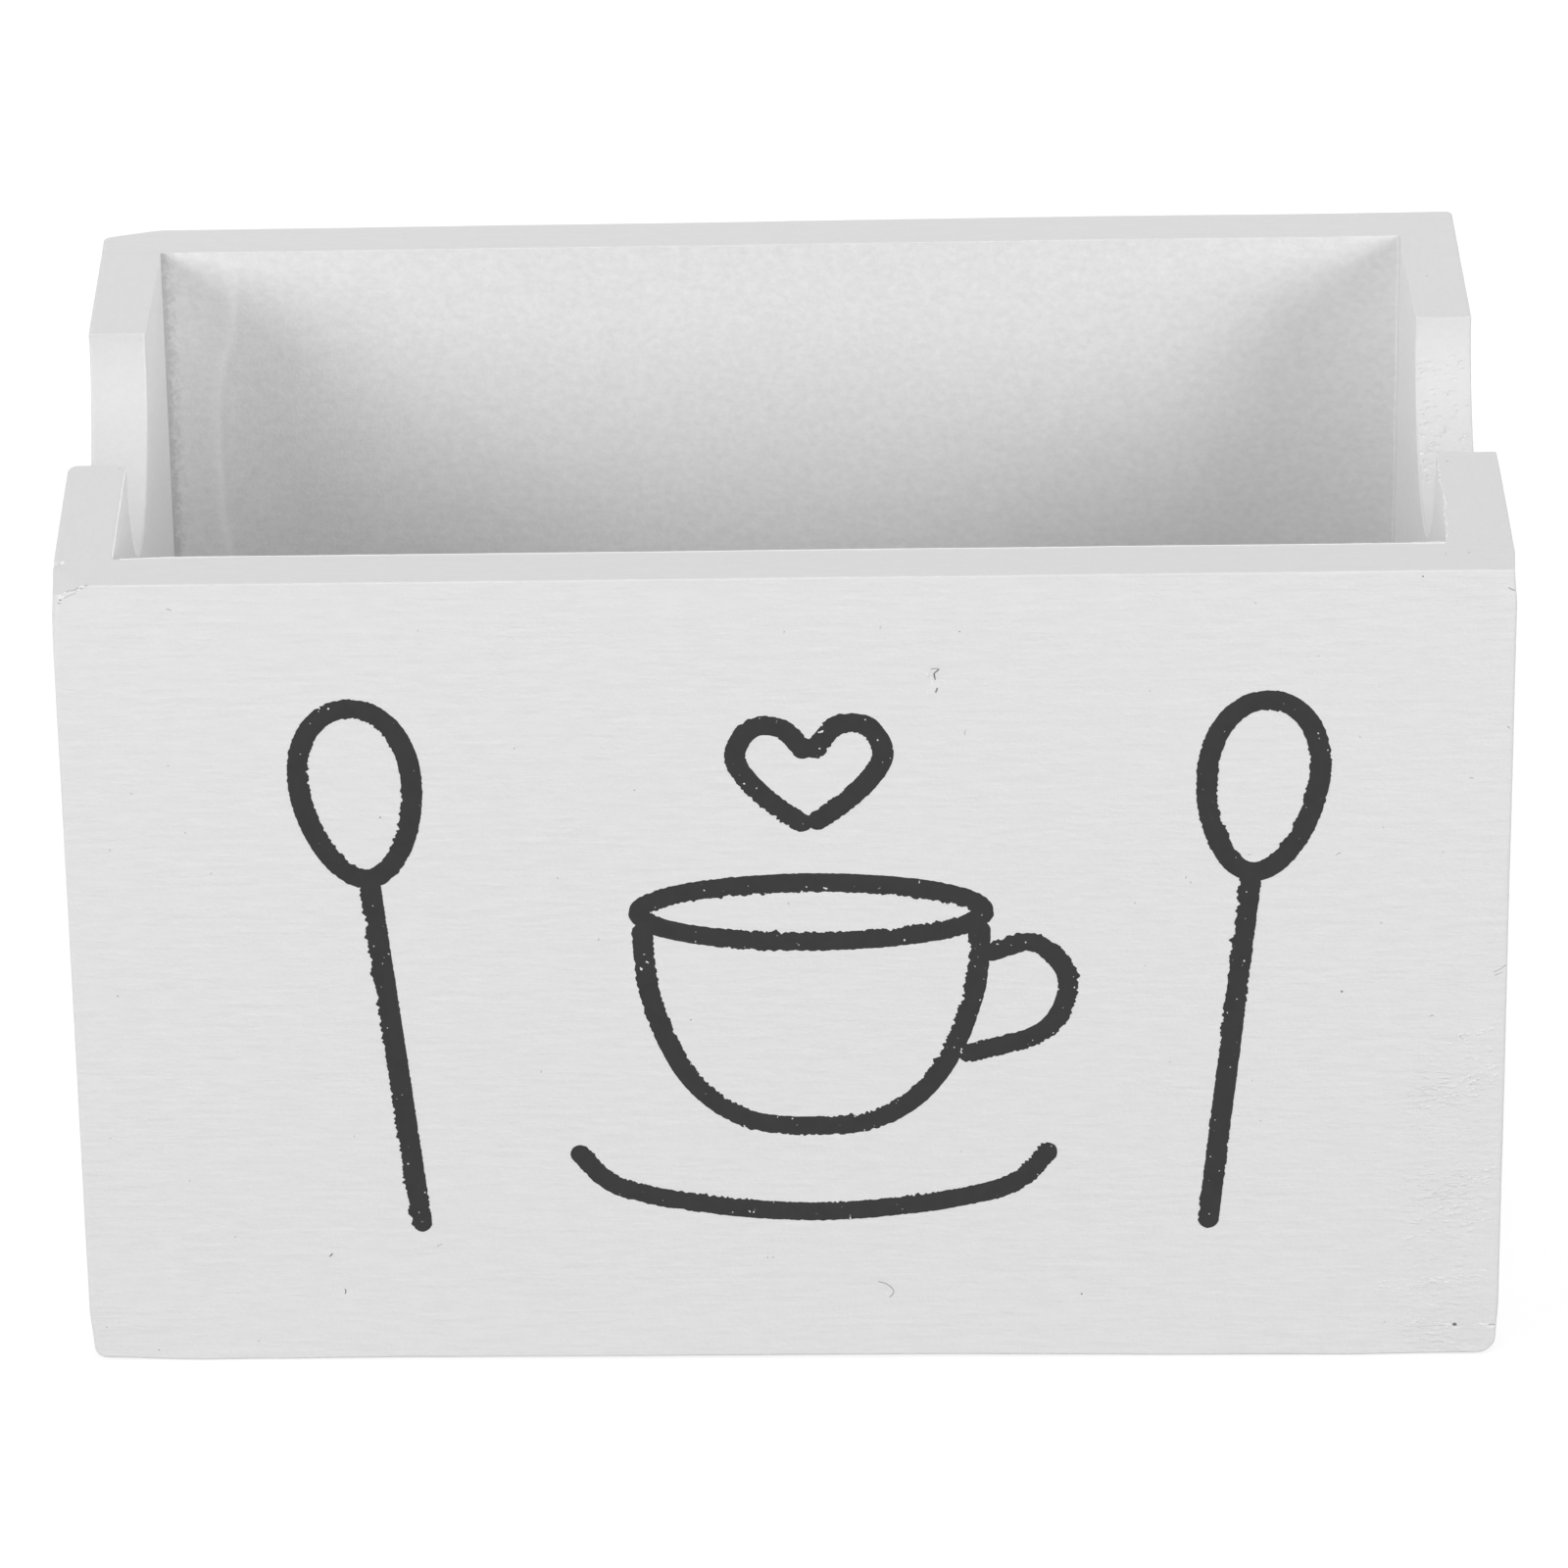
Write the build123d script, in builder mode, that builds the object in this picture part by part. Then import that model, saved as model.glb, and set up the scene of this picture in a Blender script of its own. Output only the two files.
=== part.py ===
from build123d import *

import os

# Sugar packet holder: an open box of painted boards with a round finger notch in each side.
# The front and back boards run the full width and the side boards stand between them. All four stand on
# a thin base board. The butt joints are glued and pinned, and then the box is sanded flush as one.
# Units are millimetres: X along the front, Y from front to back, Z up, from the middle of the foot.

# Outside of the box
box_width = 130.0
box_depth = 80.0
box_height = 80.0

# Boards
face_thickness = 5.7  # front and back boards
side_thickness = 5.7
base_thickness = 3.0

# Finger notch, centred on the top edge of each side board
notch_radius = 15.0

# Sanded edges
corner_radius = 0.4  # upright outer corners
foot_radius = 0.6  # outer edges of the base board
rim_radius = 0.2  # edges of the rim and of the notches

# Headless pins of square wire, set below the outer faces, where filler and paint close over them
pin_width = 0.7
pin_length = 15.0
pin_set = 0.5  # from an outer face down to a pin's head
pin_clearance = 0.02  # round a pin in its hole
wall_pin_rows = 3  # pins in each corner joint, one above the other
wall_pin_margin = 12.0  # from the rim, and from the base board, to the nearest row
end_pin_gap = 6.0  # from a corner joint's pins back to the pins up into the side board
base_pin_count = 3  # pins up into the front board, and into the back board
base_pin_margin = 20.0  # from the ends of those boards to the nearest pin

# Sizes that follow
inner_width = box_width - 2 * side_thickness
inner_depth = box_depth - 2 * face_thickness
wall_pin_step = (box_height - base_thickness - 2 * wall_pin_margin) / (wall_pin_rows - 1)
base_pin_step = (box_width - 2 * base_pin_margin) / (base_pin_count - 1)
face_middle = (box_depth - face_thickness) / 2
side_middle = (box_width - side_thickness) / 2
end_pin_y = box_depth / 2 - pin_set - pin_length - end_pin_gap


def wall_pin_group(width):
    """A square bar at each pin through the front or back board into the end of a side board."""
    middle_row = (box_height + base_thickness) / 2
    with BuildPart() as group:
        with BuildSketch(Plane.XZ.offset(box_depth / 2 - pin_set)):
            with Locations((0, middle_row)):
                with GridLocations(2 * side_middle, wall_pin_step, 2, wall_pin_rows):
                    Rectangle(width, width)
        extrude(amount=-pin_length)
        mirror(about=Plane.XZ)
    return group


def base_pin_group(width):
    """A square bar at each pin through the base board into the foot of a wall."""
    with BuildPart() as group:
        with BuildSketch(Plane.XY.offset(pin_set)):
            with GridLocations(base_pin_step, 2 * face_middle, base_pin_count, 2):
                Rectangle(width, width)
            with GridLocations(2 * side_middle, 2 * end_pin_y, 2, 2):
                Rectangle(width, width)
        extrude(amount=pin_length)
    return group


wall_pins = wall_pin_group(pin_width)
base_pins = base_pin_group(pin_width)
wall_pin_holes = wall_pin_group(pin_width + 2 * pin_clearance)
base_pin_holes = base_pin_group(pin_width + 2 * pin_clearance)

# The whole box as sanded and drilled, before the joints divide it into boards
with BuildPart() as box:
    Box(box_width, box_depth, box_height, align=(Align.CENTER, Align.CENTER, Align.MIN))
    fillet(box.edges().filter_by(Axis.Z), corner_radius)
    fillet(box.faces().sort_by(Axis.Z)[0].edges(), foot_radius)
    with BuildSketch(Plane.XY.offset(base_thickness)):
        Rectangle(inner_width, inner_depth)
    extrude(amount=box_height, mode=Mode.SUBTRACT)
    with BuildSketch(Plane.YZ):
        with Locations((0, box_height)):
            Circle(notch_radius)
    extrude(amount=box_width / 2, both=True, mode=Mode.SUBTRACT)
    rim_faces = box.faces().filter_by(Plane.XY).group_by(Axis.Z)[-1]
    notch_faces = box.faces().filter_by(GeomType.CYLINDER).group_by(Axis.Z)[-1]
    fillet(ShapeList(set(rim_faces.edges() + notch_faces.edges())), rim_radius)
    add(wall_pin_holes.part, mode=Mode.SUBTRACT)
    add(base_pin_holes.part, mode=Mode.SUBTRACT)

# Planes of the glued joints: the first faces up, the other two face the front
base_joint = Plane.XY.offset(base_thickness)
front_joint = Plane.XZ.offset(inner_depth / 2)
back_joint = Plane.XZ.offset(-inner_depth / 2)

with BuildPart() as base_board:
    add(box.part)
    split(bisect_by=base_joint, keep=Keep.BOTTOM)

with BuildPart() as front_board:
    add(box.part)
    split(bisect_by=base_joint, keep=Keep.TOP)
    split(bisect_by=front_joint, keep=Keep.TOP)

with BuildPart() as back_board:
    mirror(front_board.part, about=Plane.XZ)

with BuildPart() as right_side_board:
    add(box.part)
    split(bisect_by=base_joint, keep=Keep.TOP)
    split(bisect_by=front_joint, keep=Keep.BOTTOM)
    split(bisect_by=back_joint, keep=Keep.TOP)
    split(bisect_by=Plane.YZ, keep=Keep.TOP)

with BuildPart() as left_side_board:
    mirror(right_side_board.part, about=Plane.YZ)

pieces = {
    "base_board": base_board,
    "front_board": front_board,
    "back_board": back_board,
    "right_side_board": right_side_board,
    "left_side_board": left_side_board,
    "wall_pins": wall_pins,
    "base_pins": base_pins,
}

os.makedirs("parts", exist_ok=True)
for name, piece in pieces.items():
    piece.part.label = name
    export_step(piece.part, f"parts/{name}.step")
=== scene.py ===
import math

import bpy
import numpy as np
from mathutils import Matrix, Vector, noise


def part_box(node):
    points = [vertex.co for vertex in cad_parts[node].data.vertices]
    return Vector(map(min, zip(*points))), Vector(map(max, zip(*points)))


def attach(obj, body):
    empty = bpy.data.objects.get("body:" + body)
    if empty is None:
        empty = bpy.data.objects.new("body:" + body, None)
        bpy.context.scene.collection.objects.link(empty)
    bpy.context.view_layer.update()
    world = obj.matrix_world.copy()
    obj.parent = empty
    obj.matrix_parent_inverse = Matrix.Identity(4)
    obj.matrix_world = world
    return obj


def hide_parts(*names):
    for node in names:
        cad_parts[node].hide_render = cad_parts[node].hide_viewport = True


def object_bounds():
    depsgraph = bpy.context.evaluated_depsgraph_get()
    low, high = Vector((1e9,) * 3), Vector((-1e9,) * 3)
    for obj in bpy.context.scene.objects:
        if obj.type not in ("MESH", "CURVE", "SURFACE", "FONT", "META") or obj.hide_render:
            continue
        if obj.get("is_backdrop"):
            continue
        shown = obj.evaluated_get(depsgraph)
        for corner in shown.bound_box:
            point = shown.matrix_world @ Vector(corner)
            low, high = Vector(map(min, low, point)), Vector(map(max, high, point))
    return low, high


# Looks of the sugar packet holder: five painted boards, the marks in their paint, and a brushed motif.
# Lengths are millimetres until a mesh is made: X along the front, Y from front to back, Z up.

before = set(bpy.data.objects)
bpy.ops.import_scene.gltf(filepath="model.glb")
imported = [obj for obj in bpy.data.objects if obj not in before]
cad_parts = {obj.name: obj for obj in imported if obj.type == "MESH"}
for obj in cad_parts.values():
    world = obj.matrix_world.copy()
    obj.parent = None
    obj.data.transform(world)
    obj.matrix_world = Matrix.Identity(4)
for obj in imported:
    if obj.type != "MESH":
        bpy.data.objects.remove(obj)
cad_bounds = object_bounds()

MM = 0.001


def node_box(node):
    """Lowest and highest corner of a solid, in millimetres."""
    return [np.array(corner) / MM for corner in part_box(node)]


front_low, front_high = node_box("front_board")
half_width, inner_width = front_high[0], node_box("right_side_board")[0][0]
half_depth, inner_depth = -front_low[1], -front_high[1]
base_top, top = front_low[2], front_high[2]
half_size = np.array([half_width, half_depth, top])

# Sanded edges and notches
NOTCH_RADIUS = 15.0
RIM_RADIUS = 0.13
CORNER_RADIUS = 0.32
FOOT_RADIUS = 0.2
FOOT_END_RADII = (1.2, 1.7)  # foot, along the left and right ends of the box
FOOT_FADE = (1.2, 3.0)  # heights between which the foot's radius gives way to the corners'
RIM_FADE = 1.6  # depth below the rim at which the corners' radius begins
RADIUS_SWAY = 0.3  # share by which a sanded edge grows and shrinks along its length
RADIUS_SWAY_SIZE = 6.0
INNER_RIM_RADIUS = 0.07  # inner edges of the rim, which the sanding missed
NOTCH_EDGE_RADIUS = 0.22  # inner edges of the notches
NOTCH_RIM_RADIUS = 0.1  # where the rim turns down into a notch
JOINT_RADIUS = 0.025  # hairlines down the corner joints, outside
CREVICE = 0.03  # ragged opening of the left inner back corner
CREVICE_SIZE = 0.8
CREVICE_SHARES = (0.05, 1.0)
LEAST_RADIUS = 0.001

# The rounded tip of the rim in front of the left notch
TIP_PLACE = (-65, -15, 80)
TIP_REACH = (5, 6, 9)
TIP_RADIUS = 1.3

# Upright corners that are softer towards the rim: (place, reach, radius)
SOFT_CORNERS = (
    ((65, 40, 80), (5, 5, 25), 0.9),
    ((-65, 40, 80), (5, 5, 25), 1),
    ((-65, -40, 80), (5, 5, 10), 0.8),
)

# Top left corner of the back board, planed off at the back: how far along each edge
PLANED_WIDE = 5.3
PLANED_DEEP = 1.7
PLANED_FADE = 9.0

# Top left corner of the front, broken off: how far along each edge the break runs, and its roughness
BREAK_WIDE = 3.4
BREAK_DEEP = 3.0
BREAK_HIGH = 1.1
BREAK_ROUGH = 0.03
BREAK_ROUGH_SIZE = 0.28
BREAK_DRAWN = 0.25  # share to which the roughness is drawn out along the break

# Paint on the inner face of the back board: a run near the left corner, and a filled right corner
RUN_PLACES = (
    (-54, 30), (-54, 47.6), (-54.6, 52.9), (-54.8, 60.7),
    (-54.4, 66), (-53.8, 68.6), (-52.9, 71.2), (-52.4, 76.3),
)
RUN_HEIGHT = 0.16
RUN_SPREAD = 2.4  # to the left of its crest
RUN_FALL = 0.55  # to the right
RUN_FADE = 3.0  # at its upper end
RUN_BARE = 0.5  # share of that fade, next to the rim, that has no run
COAT_SPREAD = 2.5
CORNER_FILL = 0.3
CORNER_FILL_SIZE = 4.0
CORNER_FILL_SWAY = 0.3

# Thicker paint from the run on the back board, and painted light down the inner face of the left board, by
# height, and in the foot of the notches, where they lie in shade
COAT_ON_RUN = 0.83
COAT_FALL = 0.6  # share that is lost from the run to the corner
LEFT_LIGHT_HEIGHTS = (50, 80)
LEFT_PAINTED_LIGHT = (0.6, 1)
NOTCH_PAINTED_LIGHT = 6.0  # how far up from the bottom of a notch

# Bare and thinly painted wood by the left inner back corner, with painted shade in the corner's crevice
BARE_EDGE = 0.25
BARE_SPREAD = 2.2
BARE_THIN = 0.72
BARE_BREAKS = 1.1  # length of the gaps in the bare edge
BARE_MIDDLE = 0.62
BARE_SWAY = 0.8
BARE_LEAST = 0.1
BREAK_SHADE_DEPTH = 1.1 * BREAK_ROUGH  # how far below its plane the break still takes painted shade

# Torn grain at the right end of the front
TORN_X = (53, 58, 62, 64.5)
TORN_ACROSS = (0, 1, 1, 0.2)
TORN_Z = (28, 38)
TORN_NEAR = 1.0  # how far in from the front face
TORN_BAND = 3.2
TORN_SWAY = 0.9
TORN_SHARES = (0.3, 0.8)
TORN_DEPTH = 0.05

# Lattice lines of the boards, and where they are closer: (place, reach, lines)
EDGE_LINES = (0, 0.06, 0.13, 0.22, 0.33, 0.46, 0.62, 0.8, 1.05, 1.4, 1.8, 2.25, 2.75, 3.3)
RIM_LINES = 10  # how many of these run beside the rim on a side board
END_LINES = (0.5, 0.25, 0.1, 0)  # before the far end of a side board's lines
BOARD_STEP = 1.2
RAY_STEPS = 30
FRONT_ACROSS = ((-63.3, 1.7, 31), (13.2, 0.9, 7), (61.3, 0.45, 7), (64.5, 0.45, 7))
FRONT_HIGH = ((79.1, 0.9, 17), (69.6, 1.4, 9))
BACK_ACROSS = ((-57.2, 2.1, 15), (-53.6, 2.9, 25), (inner_width - 0.44, 0.46, 24))
BASE_ACROSS = ((61.3, 0.45, 7), (64.5, 0.45, 7))

# The finished surface: how far it is drawn in, how far out of square, and its swells (size, depth, seed)
INSET = (0.15, 0.15, 0.3)
LEAN = 0.48  # half of how far the rim stands to the left of the foot
LEFT_DROP = 1.165  # how much lower the rim is at its left end
BACK_TWIST = 0.216  # how far the back rim turns beyond that: up at its right end, down at its left
FOOT_ARCH = 0.318  # rise of the foot between its ends
SWELLS = ((24, 0.06, 3), (4, 0.015, 8))
# Shift of the inner faces of the side boards: (y, shift in x)
LEFT_INNER = ((-34.3, -0.48), (-15, -0.4), (15, -0.33), (34.3, -0.02))
RIGHT_INNER = ((-34.3, -0.3), (-27, 0.1), (0, 0.3), (15, 0.4), (34.3, 0.3))
NOTCH_SHORT = (0.6, 1.3)  # how far the left and the right notch fall short of half round
NOTCH_SHORT_FADE = 18.0
SIDE_SLACK = 1.0  # how far within their inner faces a point still counts as the side boards'

# Knocks and sanded-off corners: (centre, reach, push)
KNOCKS = (
    ((-62, -15, 80), (9, 6, 7), (0, 0.6, 0)),
    ((-59.3, -34.3, 80), (5, 1.2, 2), (0, -0.28, 0)),
    ((65, -40, 80), (3, 4, 3.5), (-0.25, 0.1, -0.12)),
    ((13.2, -40, 69.6), (0.8, 1, 1.4), (0, 0.12, 0)),
    ((-65, -35.2, 80), (1.2, 0.7, 0.9), (0.3, 0, -0.2)),
    ((-65, -40, 80), (4, 5, 4), (0.18, 0, 0)),
    ((65, -40, 0), (15, 3, 6), (-0.25, 0.1, 0.22)),
    ((-65, -40, 0), (11, 3, 6), (0.3, 0.1, 0.3)),
)

# The joint along the base board, painted over but open in places: (x of the spot, half length, radius)
SEAM_RADIUS = 0.005
SEAM_SWAY = (-0.6, 1)
SEAM_SWAY_SIZE = 5.0
SEAM_SPOTS = ((61.3, 0.3, 0.25), (64.6, 0.5, 0.25), (59.5, 2.6, 0.04))

# Seeds of the noise, and how far apart two seeds are
SEED_STEP = 17.3
RADIUS_SEED, SEAM_SEED, BREAK_SEED, CREVICE_SEED = 5, 11, 23, 29
EDGE_SEED, PATCH_SEED, BARE_SEED, FILL_SEED, TORN_SEED = 31, 41, 43, 61, 71

TINY = 1e-9  # least length that is divided by


def noise_at(points, size, seed):
    """Smooth noise from -1 to 1 with bumps about size wide."""
    shifted = points / size + seed * SEED_STEP
    return np.array([noise.noise(place) for place in shifted.tolist()])


def upright_noise(points, size, seed):
    """Noise that changes only with height."""
    return noise_at(points * (0, 0, 1), size, seed)


def falloff(points, centre, reach):
    """1 at the centre and 0 from the reach on."""
    away = (((points - centre) / reach) ** 2).sum(1)
    return np.clip(1 - away, 0, None) ** 2


def notch_lift(points):
    """How far each point of a side board is raised, most of all at the bottom of its notch."""
    x, y, z = points.T
    below = top - z
    lift = np.minimum(below / NOTCH_RADIUS, 1 - (below - NOTCH_RADIUS) / NOTCH_SHORT_FADE)
    beside = np.minimum(1, 1 - (np.abs(y) - NOTCH_RADIUS) / NOTCH_SHORT_FADE)
    in_side = np.abs(x) > inner_width - SIDE_SLACK
    return np.where(x < 0, *NOTCH_SHORT) * np.clip(lift, 0, 1) * np.clip(beside, 0, 1) * in_side


def settled(points):
    """The points as finished: drawn in, out of square, gently uneven, and knocked at the corners."""
    across, back, height = (points / half_size).T
    moved = points * (1 - INSET / half_size)
    moved[:, 0] = moved[:, 0] * (1 - LEAN / half_width) + LEAN * (1 - 2 * height)
    moved[:, 2] -= LEFT_DROP * height * (1 - across) / 2
    moved[:, 2] += BACK_TWIST * height * across * np.clip(back, 0, 1)
    moved[:, 2] += FOOT_ARCH * (1 - height) * (1 - across**2) + notch_lift(points)
    from_inner = np.abs(np.abs(points[:, 0]) - inner_width)
    near_inner = np.clip(1 - from_inner / (half_width - inner_width), 0, 1)
    for side, shifts in ((across < 0, LEFT_INNER), (across > 0, RIGHT_INNER)):
        moved[:, 0] += side * near_inner * np.interp(points[:, 1], *zip(*shifts))
    for size, depth, seed in SWELLS:
        moved += depth * np.stack([noise_at(points, size, seed + axis) for axis in range(3)], 1)
    for centre, reach, push in KNOCKS:
        moved += falloff(points, centre, reach)[:, None] * push
    moved[:, 2] = np.maximum(moved[:, 2], 0)
    return moved


# Lattices, and the closed mesh over a lattice
def lines(low, high, spots=()):
    """Places of lattice lines: even steps, and closer lines at both ends and round the spots."""
    near_ends = [near for near in EDGE_LINES if near < (high - low) / 2]
    places = [low + near for near in near_ends] + [high - near for near in near_ends]
    for centre, reach, count in spots:
        places += list(np.linspace(centre - reach, centre + reach, count))
    crowded = np.array(places)
    for place in np.linspace(low, high, round((high - low) / BOARD_STEP) + 1):
        if np.abs(crowded - place).min() > BOARD_STEP / 2:
            places.append(place)
    return np.unique(np.clip(places, low, high))


def skin(lattice):
    """Points and quads of the closed surface over a lattice, indexed [i, j, k, axis]."""
    shape = lattice.shape[:3]
    index = np.arange(np.prod(shape)).reshape(shape)
    quads = []
    for axis in range(3):
        for end in (0, -1):
            sheet = np.take(index, end, axis)
            corners = (sheet[:-1, :-1], sheet[1:, :-1], sheet[1:, 1:], sheet[:-1, 1:])
            quad = np.stack(corners, -1).reshape(-1, 4)
            turned = (end == 0) != (axis == 1)
            quads.append(quad[:, ::-1] if turned else quad)
    used, packed = np.unique(np.concatenate(quads), return_inverse=True)
    return lattice.reshape(-1, 3)[used], packed.reshape(-1, 4)


def flat_face(points, axis, place, sign):
    """A flat exposed face: each point's depth below it, and its outward direction."""
    out = np.zeros(3)
    out[axis] = sign
    return sign * (place - points[:, axis]), out


def face_pair(points, axis, place):
    """Two flat faces opposite each other along an axis."""
    return [flat_face(points, axis, sign * place, sign) for sign in (-1, 1)]


def notch_face(points):
    """The round face of a finger notch, in the way of flat_face."""
    from_axis = points - (0, 0, top)
    from_axis[:, 0] = 0
    distance = np.linalg.norm(from_axis, axis=1)
    return distance - NOTCH_RADIUS, -from_axis / distance[:, None]


def rounded(points, faces, radius):
    """The points with a radius on every edge where two of the faces meet."""
    pull = np.zeros_like(points)
    for depth, out in faces:
        pull += np.clip(radius - depth, 0, None)[:, None] * out
    kept = np.minimum(1, radius / np.maximum(np.linalg.norm(pull, axis=1), TINY))
    return points - pull * (1 - kept)[:, None]


def sanded_radius(points):
    """Radius of the sanded edges: largest at the upright corners, smallest at the rim, and uneven."""
    z = points[:, 2]
    above = np.interp(z, FOOT_FADE, (0, 1))
    rim = np.interp(z, (top - RIM_FADE, top - RIM_RADIUS), (0, 1))
    upright = CORNER_RADIUS + (RIM_RADIUS - CORNER_RADIUS) * rim
    sway = 1 + RADIUS_SWAY * noise_at(points, RADIUS_SWAY_SIZE, RADIUS_SEED)
    return (FOOT_RADIUS + (upright - FOOT_RADIUS) * above) * sway


def seam_radius(points):
    """Radius of the edges along the base board's joint: a hairline, with open spots at the front."""
    sway = np.clip(noise_at(points, SEAM_SWAY_SIZE, SEAM_SEED), *SEAM_SWAY)
    radius = SEAM_RADIUS * (1 + sway)
    at_front = points[:, 1] < -inner_depth
    for x, reach, deep in SEAM_SPOTS:
        spot = np.clip(1 - ((points[:, 0] - x) / reach) ** 2, 0, 1)
        radius = np.where(at_front, np.maximum(radius, deep * spot), radius)
    return radius


def outer_faces(points):
    """The four upright outer faces of the box."""
    return face_pair(points, 0, half_width) + face_pair(points, 1, half_depth)


def eased_seam(points, joint_sign):
    """The points with the edges along the base board's joint eased. joint_sign is 1 below the joint."""
    joint = flat_face(points, 2, base_top, joint_sign)
    return rounded(points, [*outer_faces(points), joint], seam_radius(points))


def break_plane():
    """Way out of the break at the top left front corner, and a point on its edge."""
    out = np.array([-1 / BREAK_WIDE, -1 / BREAK_DEEP, 1 / BREAK_HIGH])
    return out / np.linalg.norm(out), np.array([BREAK_WIDE - half_width, -half_depth, top])


def broken(points):
    """The points with the top left front corner cut back to a rough slanting break."""
    out, edge = break_plane()
    beyond = np.clip((points - edge) @ out, 0, None)
    slope = math.atan2(BREAK_HIGH, BREAK_WIDE)
    along = points[:, 0] * math.cos(slope) + points[:, 2] * math.sin(slope)
    above = points[:, 2] * math.cos(slope) - points[:, 0] * math.sin(slope)
    drawn = np.stack([along * BREAK_DRAWN, points[:, 1], above], 1)
    rough = BREAK_ROUGH * np.abs(noise_at(drawn, BREAK_ROUGH_SIZE, BREAK_SEED)) * (beyond > 0)
    return points - (beyond + rough)[:, None] * out


def planed(points):
    """The points of the back board with its top left corner planed off at the back."""
    x, y, z = points.T
    share = np.clip((PLANED_WIDE - half_width - x) / PLANED_WIDE, 0, 1)
    share *= np.clip(1 - (top - z) / PLANED_FADE, 0, 1)
    moved = points.copy()
    moved[:, 1] -= PLANED_DEEP * share * (y - inner_depth) / (half_depth - inner_depth)
    return moved


def past_run(points):
    """How far each point lies to the right of the paint run's crest."""
    places, heights = np.array(RUN_PLACES).T
    return points[:, 0] - np.interp(points[:, 2], heights, places)


def below_rim(z):
    """1 where the paint ran, and 0 next to the rim."""
    return np.clip((top - z) / RUN_FADE - RUN_BARE, 0, 1)


def gathered(points):
    """Thickness of the paint that gathered on the inner face of the back board."""
    x, _, z = points.T
    past = past_run(points)
    run = np.clip(np.where(past < 0, 1 + past / RUN_SPREAD, 1 - past / RUN_FALL), 0, 1)
    run *= run * (3 - 2 * run) * below_rim(z)
    fill = CORNER_FILL * (1 + CORNER_FILL_SWAY * upright_noise(points, CORNER_FILL_SIZE, FILL_SEED))
    short = np.clip(fill - (inner_width - x), 0, fill)
    corner = (fill - np.sqrt(fill**2 - short**2)) * (x <= inner_width)
    return RUN_HEIGHT * run + corner


def grid(xs, ys, zs):
    return np.stack(np.meshgrid(xs, ys, zs, indexing="ij"), -1)


def face_board(sign):
    """Front board (sign -1) or back board (sign 1), full width."""
    across, high = (FRONT_ACROSS, FRONT_HIGH) if sign < 0 else (BACK_ACROSS, ())
    ys = np.sort(sign * lines(inner_depth, half_depth))
    points, quads = skin(grid(lines(-half_width, half_width, across), ys, lines(base_top, top, high)))
    for place, reach, radius in SOFT_CORNERS:
        points = rounded(points, outer_faces(points), radius * falloff(points, place, reach))
    inner = flat_face(points, 1, sign * inner_depth, -sign)
    outer = flat_face(points, 1, sign * half_depth, sign)
    ends = face_pair(points, 0, half_width)
    rim = flat_face(points, 2, top, 1)
    at_inner_face = np.clip(1 - inner[0] / INNER_RIM_RADIUS, 0, 1)
    open_edge = np.clip(inner_width - np.abs(points[:, 0]), LEAST_RADIUS, INNER_RIM_RADIUS)
    points = rounded(points, [rim, inner], open_edge)
    points = rounded(points, [*ends, inner], JOINT_RADIUS)
    points = rounded(points, [outer, *ends, rim], sanded_radius(points))
    if sign < 0:
        points = broken(points)
    else:
        points[:, 1] -= gathered(points) * at_inner_face
        points = planed(points)
    return eased_seam(points, -1), quads


def side_lines():
    """Lattice lines of a side board, which fan out from its notch to its outline, in y and z."""
    rim_lines = EDGE_LINES[:RIM_LINES]
    rim, foot = rim_lines[-1], top - base_top
    rim_turn, corner_turn = math.asin(rim / NOTCH_RADIUS), math.atan2(foot, inner_depth)
    ends = [(math.asin(near / NOTCH_RADIUS), inner_depth, top - near) for near in rim_lines]
    for share in np.linspace(0, 1, round(foot / BOARD_STEP))[1:]:
        turn = rim_turn + (corner_turn - rim_turn) * share
        ends.append((turn, inner_depth, top - rim - (foot - rim) * share))
    for share in np.linspace(0, 1, round(inner_depth / BOARD_STEP) + 1)[1:]:
        turn = corner_turn + (math.pi / 2 - corner_turn) * share
        ends.append((turn, inner_depth * (1 - share), base_top))
    ends += [(math.pi - turn, -y, z) for turn, y, z in reversed(ends[:-1])]
    fan = []
    for turn, y, z in ends:
        start = np.array([NOTCH_RADIUS * math.cos(turn), top - NOTCH_RADIUS * math.sin(turn)])
        way = (y, z) - start
        length = np.linalg.norm(way)
        near = np.array(EDGE_LINES) / length
        far = 1 - np.array(END_LINES) / length
        between = np.linspace(near[-1], far[0], RAY_STEPS)[1:-1]
        fan.append(start + np.concatenate([near, between, far])[:, None] * way)
    return np.array(fan)


def side_board(sign):
    """Left side board (sign -1) or right side board (sign 1)."""
    fan = side_lines()
    thickness = lines(inner_width, half_width) * sign
    lattice = np.zeros((*fan.shape[:2], len(thickness), 3))
    lattice[..., 0] = thickness
    lattice[..., 1:] = fan[:, :, None, :]
    points, quads = skin(lattice if sign < 0 else lattice[:, :, ::-1])
    outer = flat_face(points, 0, sign * half_width, sign)
    inner = flat_face(points, 0, sign * inner_width, -sign)
    rim = flat_face(points, 2, top, 1)
    ends = face_pair(points, 1, inner_depth)
    notch = notch_face(points)
    if sign < 0:
        opening = CREVICE * np.clip(0.5 + noise_at(points, CREVICE_SIZE, CREVICE_SEED), *CREVICE_SHARES)
        points = rounded(points, [inner, ends[1]], opening)
        points = rounded(points, [outer, notch], TIP_RADIUS * falloff(points, TIP_PLACE, TIP_REACH))
    points = rounded(points, [outer, *ends], JOINT_RADIUS)
    points = rounded(points, [inner, rim], INNER_RIM_RADIUS)
    points = rounded(points, [inner, notch_face(points)], NOTCH_EDGE_RADIUS)
    points = rounded(points, [rim, notch_face(points)], NOTCH_RIM_RADIUS)
    points = rounded(points, [outer, rim, notch_face(points)], sanded_radius(points))
    return eased_seam(points, -1), quads


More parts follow.
